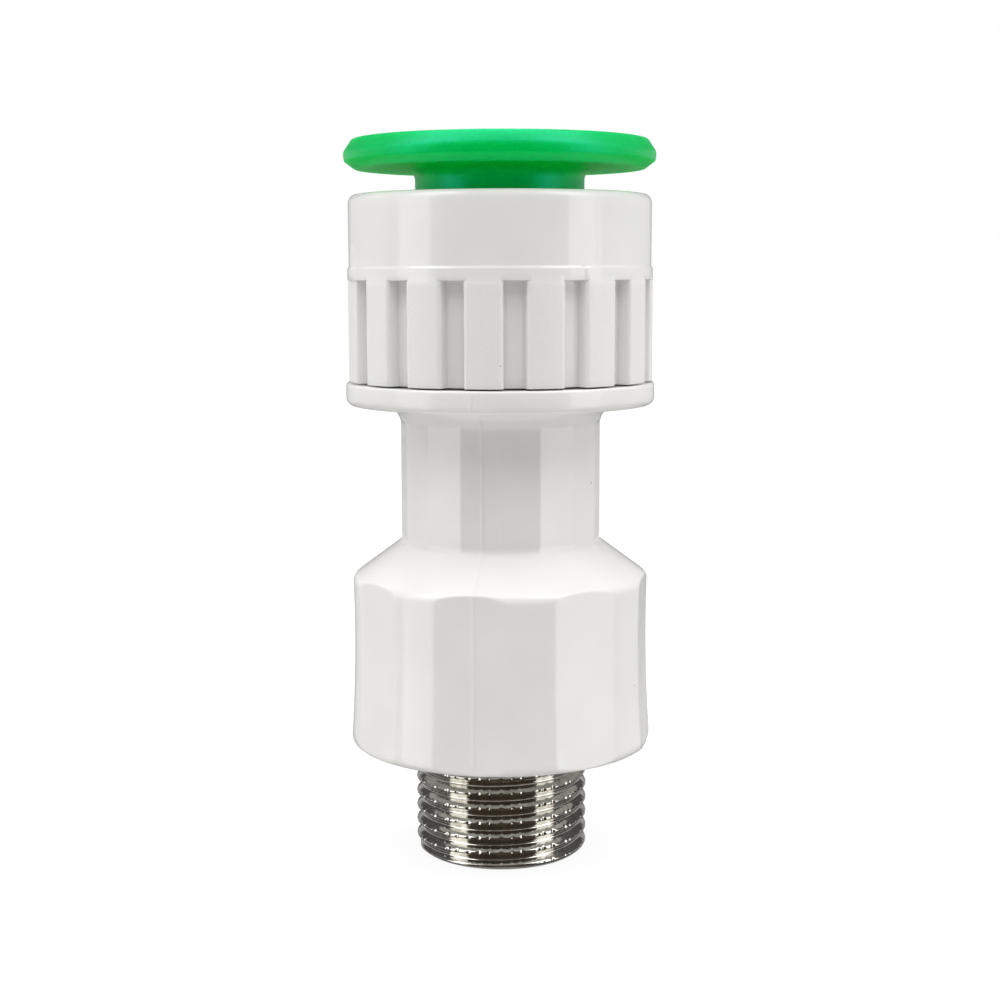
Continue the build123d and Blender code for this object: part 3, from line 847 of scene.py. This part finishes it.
class FITTING_OT_cap(bpy.types.Operator):
    """Model the white cap with its grip ribs, bead, band and inner bays"""

    bl_idname = "fitting.cap"
    bl_label = "Cap"

    steps_a_slot = 36
    floor_columns = 6
    round_columns = 4

    def section(self, size):
        """The cap's half section, outside first and then down through its bays."""
        low_z = CAP_LOW.z
        top_z = CAP_HIGH.z
        bead_z = low_z + size.rib_length
        band_z = bead_z + size.bead_height
        slot_r = size.rib_r - size.slot_depth
        return [
            (size.thread_r, low_z, 0),
            (slot_r - size.slot_depth / 4, low_z, 0),
            (slot_r - size.slot_depth / 4, low_z - size.skirt_drop, 0),
            (size.rib_r, low_z - size.skirt_drop, size.skirt_round),
            (size.rib_r, bead_z - size.rib_relief, 0),
            (size.bead_r, bead_z, 0),
            (size.bead_r, band_z - size.bead_chamfer, size.bead_edge),
            (size.band_r, band_z, size.bead_edge),
            (size.band_r, top_z, size.band_round),
            (size.lip_r + size.lip_round, top_z, 0),
            (size.lip_r, top_z - size.lip_round, 0),
            (size.lip_r, top_z - size.top_wall, 0),
            (size.catch_bay_r, top_z - size.top_wall, 0),
            (size.catch_bay_r, top_z - size.shoulder_drop, 0),
            (size.bay_r, top_z - size.shoulder_drop, 0),
            (size.bay_r, top_z - size.snap_high_drop, 0),
            (size.snap_r, top_z - size.snap_high_drop, 0),
            (size.snap_r, top_z - size.snap_low_drop, 0),
            (size.bay_r, top_z - size.snap_low_drop, 0),
            (size.bay_r, top_z - size.bay_drop, 0),
            (size.thread_r, top_z - size.bay_drop, 0),
        ]

    def slot_profile(self, size):
        """Distance from a slot's middle and drop below the ribs, column by column."""
        half_columns = self.steps_a_slot // 2
        wall = size.slot_mouth_half - size.rib_round
        profile = [
            (size.slot_floor_half * i / self.floor_columns, size.slot_depth)
            for i in range(self.floor_columns + 1)
        ]
        for i in range(self.round_columns + 1):
            lean = pi / 2 * i / self.round_columns
            profile.append((
                wall + size.rib_round * (1 - cos(lean)), size.rib_round * (1 - sin(lean))
            ))
        left = half_columns + 1 - len(profile)
        half_pitch = size.rib_r * pi / size.slots
        rib = half_pitch - size.slot_mouth_half
        profile += [(size.slot_mouth_half + rib * (i + 1) / left, 0) for i in range(left)]
        return profile

    def press_slots(self, bm, size):
        """Press the slots between the ribs, each with a flat floor and rounded edges."""
        high_z = CAP_LOW.z + size.rib_length - size.rib_relief / 2
        floor_r = size.rib_r - size.slot_depth
        step = FULL_TURN / size.slots / self.steps_a_slot
        profile = self.slot_profile(size)
        for vert in bm.verts:
            radius = radius_of(vert.co)
            if vert.co.z > high_z or radius < floor_r:
                continue
            turn = turn_of(vert.co)
            off = from_nearest(turn, size.slots, size.slot_turn)
            aside, drop = profile[round(abs(off) / step)]
            new_off = aside / size.rib_r * (1 if off > 0 else -1)
            share_pressed = drop / size.slot_depth
            flat_r = floor_r / cos(new_off) if share_pressed == 1 else size.rib_r - drop
            outside = (size.rib_r - radius) * (1 - 0.6 * share_pressed)
            place_at(vert, flat_r - outside, turn - off + new_off)

    def mark_bead(self, bm, size):
        """Raise the pointed blister on the band's left side and press the nick in the bead."""
        foot_z = CAP_LOW.z + size.blister_low
        bead_z = CAP_LOW.z + size.rib_length
        for vert in bm.verts:
            radius = radius_of(vert.co)
            if radius < size.band_r - 0.2 * MM or vert.co.z < bead_z:
                continue
            rise = (vert.co.z - foot_z) / size.blister_length
            half = size.blister_half * (1 - rise)
            aside = abs(from_nearest(turn_of(vert.co), 1, size.blister_turn)) * radius
            if 0 < rise < 1 and aside < half:
                raised = size.blister_height * ramp(1 - aside / half, 0, 1) * ramp(rise, 0, 0.15)
                set_radius(vert, radius + raised)
            aside = abs(from_nearest(turn_of(vert.co), 1, size.nick_turn)) * radius
            if aside < size.nick_half and vert.co.z < bead_z + size.bead_height:
                set_radius(vert, radius - size.nick_depth * ramp(1 - aside / size.nick_half, 0, 1))

    def execute(self, context):
        scene = context.scene
        size = scene.cap_sizes
        steps = size.slots * self.steps_a_slot
        bm = turned_shape(self.section(size), steps, 0.7 * MM, fine_r=17 * MM)
        turn = Euler((0, 0, size.slot_turn)).to_matrix()
        bmesh.ops.rotate(bm, cent=(0, 0, 0), matrix=turn, verts=bm.verts)
        band_z = CAP_LOW.z + size.rib_length + size.bead_height
        raise_mould_line(
            bm, size, steps, 1, size.band_r - 0.01 * MM, band_z + size.bead_edge,
            CAP_HIGH.z - size.band_round,
        )
        self.press_slots(bm, size)
        self.mark_bead(bm, size)
        screw = scene.screw_sizes
        start_z = CAP_LOW.z + 0.3 * MM
        screw_ridge(bm, screw, size.thread_r, -1, start_z)
        bmesh.ops.bisect_plane(
            bm, geom=bm.verts[:] + bm.edges[:] + bm.faces[:], dist=1e-7,
            plane_co=(0, 0, CAP_LOW.z - size.skirt_drop), plane_no=(0, 0, 1), clear_inner=True,
        )
        piece = finish_piece(
            bm, "screw_cap",
            [finish("glossy_moulded_polypropylene"), finish("spark_eroded_polypropylene")],
            "cap", "cap",
        )
        for face in piece.data.polygons:
            middle = face.center
            on_rib = radius_of(middle) > size.rib_r - 0.05 * MM
            if on_rib and middle.z < CAP_LOW.z + size.rib_length - 0.1 * MM:
                face.material_index = 1
        edge = piece.modifiers.new("Rib edges", "BEVEL")
        edge.limit_method = "ANGLE"
        edge.angle_limit = radians(38)
        edge.width = size.rib_edge
        edge.segments = 2
        steady_normals(piece)
        return {"FINISHED"}


class FITTING_OT_collar(bpy.types.Operator):
    """Model the green release collar with its wide rim, neck, catch and slit sleeve"""

    bl_idname = "fitting.collar"
    bl_label = "Release collar"

    steps = 256

    def section(self, size):
        """The collar's half section, from the rim's top down the outside and up the bore."""
        top_z = COLLAR_HIGH.z
        under_z = top_z - size.height
        catch_top_z = top_z - size.catch_drop
        catch_z = catch_top_z - size.catch_height
        tip_z = COLLAR_LOW.z
        catch_r = size.neck_r + size.catch_depth
        return [
            (size.top_r, top_z, size.top_edge),
            (size.bulge_r, under_z + size.bulge_rise, 0.9 * MM),
            (size.rim_r, under_z + size.rim_rise, size.rim_edge),
            (size.under_r, under_z, size.rim_edge),
            (size.neck_r, under_z, size.neck_round),
            (size.neck_r, catch_top_z, 0),
            (catch_r, catch_top_z, 0),
            (catch_r, catch_z, 0),
            (size.neck_r, catch_z - size.catch_slope, 0),
            (size.neck_r, tip_z + size.tip_length, 0),
            (size.tip_r, tip_z + size.tip_length, 0),
            (size.tip_r, tip_z, 0),
            (size.bore_r, tip_z, 0),
            (size.bore_r, top_z - size.bore_lead, 0.3 * MM),
            (size.bore_r + size.bore_lead, top_z, 0.3 * MM),
        ]

    def slit_cutter(self, size):
        """Four thin blocks that stand where the sleeve is slit."""
        cutter = bmesh.new()
        high_z = COLLAR_HIGH.z - size.catch_drop
        low_z = COLLAR_LOW.z - 1 * MM
        reach = size.neck_r + size.catch_depth + 1 * MM
        for index in range(size.slits):
            turn = (index + 0.5) * FULL_TURN / size.slits
            block = bmesh.ops.create_cube(cutter, size=1)["verts"]
            bmesh.ops.scale(cutter, vec=(size.slit_width, reach, high_z - low_z), verts=block)
            bmesh.ops.translate(
                cutter, vec=(0, -reach / 2 - size.slit_width, (high_z + low_z) / 2), verts=block
            )
            matrix = Euler((0, 0, turn)).to_matrix()
            bmesh.ops.rotate(cutter, cent=(0, 0, 0), matrix=matrix, verts=block)
        mesh = bpy.data.meshes.new("slit_cutter")
        cutter.to_mesh(mesh)
        cutter.free()
        return bpy.data.objects.new("slit_cutter", mesh)

    def execute(self, context):
        size = context.scene.collar_sizes
        bm = turned_shape(self.section(size), self.steps, 0.8 * MM, fine_r=9.5 * MM)
        piece = finish_piece(
            bm, "green_collar", [finish("frosted_green_acetal")], "collar", "release_collar",
        )
        cutter = self.slit_cutter(size)
        context.scene.collection.objects.link(cutter)
        slit = piece.modifiers.new("Slits", "BOOLEAN")
        slit.operation = "DIFFERENCE"
        slit.solver = "EXACT"
        slit.object = cutter
        steady_normals(piece)
        bake_modifiers(piece)
        bpy.data.objects.remove(cutter)
        return {"FINISHED"}


def bake_modifiers(piece):
    """Apply a piece's modifiers to its mesh."""
    depsgraph = bpy.context.evaluated_depsgraph_get()
    finished = bpy.data.meshes.new_from_object(piece.evaluated_get(depsgraph))
    piece.modifiers.clear()
    piece.data = finished


class FITTING_OT_insert(bpy.types.Operator):
    """Model the plated insert with its notched pipe thread, anchor rings and bore"""

    bl_idname = "fitting.insert"
    bl_label = "Threaded insert"

    columns_a_notch = 9
    rows_a_pitch = 16

    def flank(self, pitches, size):
        """Depth below the crest as a share: straight flanks, rounded at crest and root."""
        off = abs((pitches + 0.5) % 1 - 0.5) * 2
        reach = size.crest_round * 2
        rise = reach / 2
        if off < reach:
            off = off * off / (2 * reach) + rise
        elif off > 1 - reach:
            off = 1 - (1 - off) ** 2 / (2 * reach) - rise
        return (off - rise) / (1 - 2 * rise)

    def thread_wall(self, size):
        """The thread as one line of waves that is spun up its helix."""
        bm = bmesh.new()
        steps = size.notches * self.columns_a_notch
        pitches = ceil(size.thread_length / size.pitch) + 2
        rows = pitches * self.rows_a_pitch
        first_z = size.crest_z - ceil(size.crest_z / size.pitch + 1) * size.pitch
        line = []
        for row in range(rows + 1):
            radius = size.thread_r - size.depth * self.flank(row / self.rows_a_pitch, size)
            z = first_z + row * size.pitch / self.rows_a_pitch
            line.append(bm.verts.new((0, -radius, z)))
        edges = [bm.edges.new(pair) for pair in zip(line, line[1:])]
        bmesh.ops.spin(
            bm, geom=line + edges, cent=(0, 0, 0), axis=(0, 0, 1),
            dvec=(0, 0, size.pitch / steps), angle=FULL_TURN, steps=steps, use_merge=False,
            use_normal_flip=False, use_duplicate=False,
        )
        bmesh.ops.remove_doubles(bm, verts=bm.verts, dist=0.001 * MM)
        for height, above in ((0, False), (size.thread_length, True)):
            bmesh.ops.bisect_plane(
                bm, geom=bm.verts[:] + bm.edges[:] + bm.faces[:], dist=1e-8,
                plane_co=(0, 0, height), plane_no=(0, 0, 1), clear_outer=above,
                clear_inner=not above,
            )
        return bm

    def notch_depths(self, size):
        """Depth of the crest notches at each column round the thread; no two are alike."""
        chance = Random(size.notch_seed)
        depths = [0.0] * (size.notches * self.columns_a_notch)
        spacing = FULL_TURN * size.thread_r / size.notches
        column_width = spacing / self.columns_a_notch
        for notch in range(size.notches):
            middle = (notch + chance.uniform(-size.notch_stray, size.notch_stray)) * spacing
            deep = size.notch_depth * chance.uniform(0.5, 1.0)
            half = size.notch_width / 2 * chance.uniform(0.5, 1.0)
            first = ceil((middle - half) / column_width)
            last = int((middle + half) / column_width)
            for column in range(first, last + 1):
                cut = deep * (1 - abs(column * column_width - middle) / half)
                place = column % len(depths)
                depths[place] = max(depths[place], cut)
        return depths

    def shape_thread(self, bm, size):
        """Chamfer the thread's end and cut the notches across its crests."""
        step = FULL_TURN / size.notches / self.columns_a_notch
        depths = self.notch_depths(size)
        for vert in bm.verts:
            radius = radius_of(vert.co)
            short = max(size.chamfer - vert.co.z, 0)
            end_r = size.thread_r - short * (1 - size.end_bulge * (1 - short / size.chamfer))
            column = round(turn_of(vert.co) / step) % len(depths)
            set_radius(vert, min(radius, end_r, size.thread_r - depths[column]))

    def extend(self, bm, loop, radius, z):
        """Carry an open edge loop on to a ring of that radius and height."""
        grown = bmesh.ops.extrude_edge_only(bm, edges=loop)["geom"]
        for vert in (v for v in grown if isinstance(v, bmesh.types.BMVert)):
            vert.co.z = z
            set_radius(vert, radius)
        return [e for e in grown if isinstance(e, bmesh.types.BMEdge)]

    def stations(self, size):
        """Radius and height of each ring above the thread, up the outside and down the bore."""
        anchor_z = size.anchor_rise
        ring_z = anchor_z + size.anchor_height
        upper_z = ring_z + size.anchor_gap
        upper_top_z = upper_z + size.anchor_height
        groove_z = (upper_top_z + INSERT_HIGH.z) / 2
        half_groove = size.groove_width / 2
        return [
            (size.relief_r, size.thread_length),
            (size.relief_r, anchor_z),
            (size.anchor_r, anchor_z),
            (size.anchor_r, ring_z),
            (size.anchor_core_r, ring_z),
            (size.anchor_core_r, upper_z),
            (size.anchor_r, upper_z),
            (size.anchor_r, upper_top_z),
            (size.top_r, upper_top_z),
            (size.top_r, groove_z - half_groove),
            (size.groove_r, groove_z - half_groove),
            (size.groove_r, groove_z + half_groove),
            (size.top_r, groove_z + half_groove),
            (size.top_r, INSERT_HIGH.z),
            (size.bore_r, INSERT_HIGH.z),
            (size.bore_r, size.bore_chamfer),
            (size.bore_r + size.bore_chamfer, 0),
        ]

    def execute(self, context):
        size = context.scene.insert_sizes
        bm = self.thread_wall(size)
        self.shape_thread(bm, size)
        open_edges = [e for e in bm.edges if e.is_boundary]
        middle_z = size.thread_length / 2
        low_loop = [e for e in open_edges if e.verts[0].co.z < middle_z]
        loop = [e for e in open_edges if e.verts[0].co.z > middle_z]
        for radius, z in self.stations(size):
            loop = self.extend(bm, loop, radius, z)
        bmesh.ops.bridge_loops(bm, edges=low_loop + loop)
        bmesh.ops.recalc_face_normals(bm, faces=bm.faces)
        for vert in bm.verts:
            press_notch(vert, size)
        piece = finish_piece(
            bm, "plated_insert", [finish("nickel_plated_brass")], "main", "threaded_insert",
        )
        steady_normals(piece)
        return {"FINISHED"}


class FITTING_OT_inner_rings(bpy.types.Operator):
    """Give the seals, the spacer, the seat and the grab ring their finishes"""

    bl_idname = "fitting.inner_rings"
    bl_label = "Inner rings"

    finishes = {
        "insert_seal": "moulded_epdm_rubber",
        "lower_o_ring": "moulded_epdm_rubber",
        "upper_o_ring": "moulded_epdm_rubber",
        "spacer_ring": "natural_moulded_acetal",
        "grab_ring_seat": "natural_moulded_acetal",
        "grab_ring": "stamped_spring_steel",
    }

    def execute(self, context):
        for node_name, finish_name in self.finishes.items():
            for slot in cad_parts[node_name].material_slots:
                slot.material = finish(finish_name)
        return {"FINISHED"}


class FITTING_OT_stage(bpy.types.Operator):
    """Set up the pale floor, the white surroundings, the soft lamps and the camera"""

    bl_idname = "fitting.stage"
    bl_label = "Stage"

    warm = (1.0, 0.78, 0.6)

    def floor(self, context, size):
        """A white floor that keeps a faint shadow and lights the fitting from below."""
        bm = bmesh.new()
        bmesh.ops.create_grid(bm, x_segments=1, y_segments=1, size=size.floor_half)
        mesh = bpy.data.meshes.new("studio_floor")
        bm.to_mesh(mesh)
        bm.free()
        floor = bpy.data.objects.new("studio_floor", mesh)
        context.scene.collection.objects.link(floor)
        material = bpy.data.materials.new("matte_white_card")
        material.use_nodes = True
        tree = material.node_tree
        tree.nodes.clear()
        path = add_node(tree, "ShaderNodeLightPath")
        white, part = (
            add_node(tree, "ShaderNodeBsdfDiffuse", {"Color": (level, level, level, 1)})
            for level in (size.floor_white, size.floor_shade)
        )
        glow = add_node(tree, "ShaderNodeEmission", {"Strength": size.floor_glow})
        seen = add_node(tree, "ShaderNodeAddShader", links={0: part, 1: glow})
        solid = add_node(
            tree, "ShaderNodeMixShader", links={0: path.outputs["Is Camera Ray"], 1: white, 2: seen}
        )
        clear = add_node(tree, "ShaderNodeBsdfTransparent")
        shown = add_node(
            tree, "ShaderNodeMixShader", links={0: path.outputs["Is Glossy Ray"], 1: solid, 2: clear}
        )
        add_node(tree, "ShaderNodeOutputMaterial", links={"Surface": shown})
        mesh.materials.append(material)

    def studio(self, tree, away, height, view):
        """How bright the studio is in each direction, for one kind of ray."""
        turned = [
            add_node(
                tree, "ShaderNodeMapRange", {"From Min": radians(low), "From Max": radians(high)},
                {"Value": away}, interpolation_type="SMOOTHSTEP",
            )
            for low, high in (view["side_turn"], view["back_turn"])
        ]
        tiers = []
        for tint, (front, side, back) in view["tiers"]:
            beside = add_node(
                tree, "ShaderNodeMix", {6: shade(tint, front), 7: (side, side, side, 1)},
                {"Factor": turned[0]}, data_type="RGBA",
            )
            tiers.append(add_node(
                tree, "ShaderNodeMix", {7: (back, back, back, 1)},
                {"Factor": turned[1], 6: beside.outputs[2]}, data_type="RGBA",
            ).outputs[2])
        walls = tiers[0]
        for tier, (low, high) in zip(tiers[1:], view["rises"]):
            raised = add_node(
                tree, "ShaderNodeMapRange",
                {"From Min": sin(radians(low)), "From Max": sin(radians(high))},
                {"Value": height}, interpolation_type="SMOOTHSTEP",
            )
            walls = add_node(
                tree, "ShaderNodeMix", links={"Factor": raised, 6: walls, 7: tier},
                data_type="RGBA",
            ).outputs[2]
        return walls

    def surroundings(self, context, size):
        """White where it is seen; big soft lights for matt surfaces; and in reflections a dim,
        warm room in front, dark walls beside the fitting and a pale strip round their middle."""
        world = bpy.data.worlds.new("white_studio")
        context.scene.world = world
        world.use_nodes = True
        tree = world.node_tree
        tree.nodes.clear()
        path = add_node(tree, "ShaderNodeLightPath")
        direction = add_node(tree, "ShaderNodeTexCoord").outputs["Generated"]
        axes = add_node(tree, "ShaderNodeSeparateXYZ", links={"Vector": direction})
        aside = add_node(tree, "ShaderNodeMath", links={0: axes.outputs["X"]}, operation="ABSOLUTE")
        ahead = add_node(
            tree, "ShaderNodeMath", {1: -1.0}, {0: axes.outputs["Y"]}, operation="MULTIPLY"
        )
        away = add_node(tree, "ShaderNodeMath", links={0: aside, 1: ahead}, operation="ARCTAN2")
        plain = (1.0, 1.0, 1.0)
        spread = {
            "side_turn": (68, 108), "back_turn": (120, 140), "rises": ((30, 50), (60, 75)),
            "tiers": (
                (plain, size.spread_low), (plain, size.spread_high), (plain, [size.spread_top] * 3)
            ),
        }
        mirror = {
            "side_turn": (80, 85), "back_turn": (160, 165),
            "rises": ((-16, -13.5), (6, 12), (25, 50), (68, 76)),
            "tiers": (
                (self.warm, size.mirror_low), (self.warm, size.mirror_level),
                (self.warm, size.mirror_low), (plain, size.mirror_high),
                (plain, [size.mirror_top] * 3),
            ),
        }
        matt, shiny = (
            self.studio(tree, away, axes.outputs["Z"], view) for view in (spread, mirror)
        )
        lit = add_node(
            tree, "ShaderNodeMix", links={"Factor": path.outputs["Is Glossy Ray"], 6: matt, 7: shiny},
            data_type="RGBA",
        )
        seen = add_node(
            tree, "ShaderNodeMath", operation="MAXIMUM",
            links={0: path.outputs["Is Camera Ray"], 1: path.outputs["Is Transmission Ray"]},
        )
        shown = add_node(
            tree, "ShaderNodeMix", {7: (1, 1, 1, 1)}, {"Factor": seen, 6: lit.outputs[2]},
            data_type="RGBA",
        )
        ground = add_node(tree, "ShaderNodeBackground", links={"Color": shown.outputs[2]})
        add_node(tree, "ShaderNodeOutputWorld", links={"Surface": ground})

    def lamp(self, context, size, name, turn, rise, height, level):
        """One strip lamp that shows in reflections and looks this bright in them."""
        data = bpy.data.lights.new(name, "AREA")
        data.shape = "RECTANGLE"
        data.size = size.lamp_width
        data.size_y = height
        data.energy = level * pi * size.lamp_width * height
        lamp = bpy.data.objects.new(name, data)
        across = size.lamp_distance * cos(rise)
        place = Vector((across * sin(turn), -across * cos(turn), size.lamp_distance * sin(rise)))
        lamp.location = place + Vector((0, 0, size.lamp_aim))
        lamp.rotation_euler = (-place).to_track_quat("-Z", "Y").to_euler()
        lamp.visible_diffuse = False
        context.scene.collection.objects.link(lamp)

    def camera(self, context, size):
        """The camera that took the picture."""
        data = bpy.data.cameras.new("camera")
        data.lens = size.focal
        data.sensor_width = 36
        data.clip_start = 0.01
        camera = bpy.data.objects.new("camera", data)
        camera.location = (0, -size.distance, size.rise)
        camera.rotation_euler = Euler((pi / 2 - size.pitch, size.roll, 0), "XYZ")
        context.scene.collection.objects.link(camera)
        context.scene.camera = camera

    def execute(self, context):
        size = context.scene.stage_sizes
        context.scene.view_settings.view_transform = "Standard"
        self.floor(context, size)
        self.surroundings(context, size)
        for side, turn in (("left", -size.lamp_turn), ("right", size.lamp_turn)):
            self.lamp(context, size, side + "_low", turn, radians(-5), 1150 * MM, size.lamp_low)
            self.lamp(context, size, side + "_high", turn, radians(49), 620 * MM, size.lamp_high)
        self.camera(context, size)
        return {"FINISHED"}


OPERATORS = (
    FITTING_OT_body,
    FITTING_OT_cap,
    FITTING_OT_collar,
    FITTING_OT_insert,
    FITTING_OT_inner_rings,
    FITTING_OT_stage,
)


class FITTING_PT_panel(bpy.types.Panel):
    """Lists the fitting's pieces in the sidebar"""

    bl_label = "Push-in fitting"
    bl_idname = "FITTING_PT_panel"
    bl_space_type = "VIEW_3D"
    bl_region_type = "UI"
    bl_category = "Fitting"

    def draw(self, context):
        column = self.layout.column(align=True)
        for operator in OPERATORS:
            column.operator(operator.bl_idname)


def register():
    """Add the property groups, the operators and the panel."""
    for group in GROUPS.values():
        bpy.utils.register_class(group)
    for name, group in GROUPS.items():
        setattr(bpy.types.Scene, name, PointerProperty(type=group))
    for operator in OPERATORS:
        bpy.utils.register_class(operator)
    bpy.utils.register_class(FITTING_PT_panel)


def unregister():
    """Remove them again."""
    bpy.utils.unregister_class(FITTING_PT_panel)
    for operator in reversed(OPERATORS):
        bpy.utils.unregister_class(operator)
    for name, group in GROUPS.items():
        delattr(bpy.types.Scene, name)
        bpy.utils.unregister_class(group)


def main():
    """Build every piece and the stage."""
    register()
    bpy.ops.fitting.body()
    bpy.ops.fitting.cap()
    bpy.ops.fitting.collar()
    bpy.ops.fitting.insert()
    bpy.ops.fitting.inner_rings()
    bpy.ops.fitting.stage()
    bpy.context.view_layer.update()


if __name__ == "__main__":
    main()
